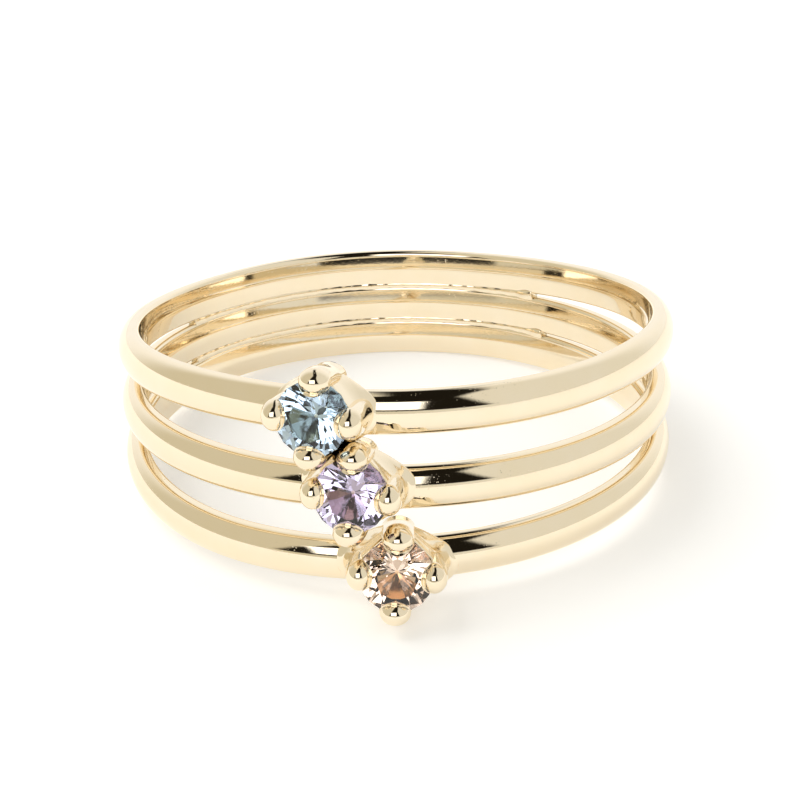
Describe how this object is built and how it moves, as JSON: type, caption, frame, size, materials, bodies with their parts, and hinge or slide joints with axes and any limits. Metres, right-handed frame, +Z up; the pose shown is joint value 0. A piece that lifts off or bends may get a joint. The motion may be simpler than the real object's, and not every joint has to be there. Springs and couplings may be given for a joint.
{
  "type": "stackable ring",
  "caption": "Finger ring of slim domed gold bands joined at the back and fanned apart in front, where each band holds a round stone in prongs.",
  "frame": {"origin": "Middle of the ring's outline, on the surface it rests on, lying on its side.", "axes": "+Z up, close to the finger hole's axis. -Y towards the front of the ring, where the stones are. +X to the right, seen from the front."},
  "size_m": [0.019, 0.0214, 0.0082],
  "materials": {
    "polished_gold": "polished",
    "blue_glass": "polished facets",
    "lilac_glass": "polished facets",
    "peach_glass": "polished facets"
  },
  "bodies": {
    "root": {"soldered_gold_ring": "polished_gold", "blue_stone": "blue_glass", "lilac_stone": "lilac_glass", "peach_stone": "peach_glass"}
  },
  "joints": []
}
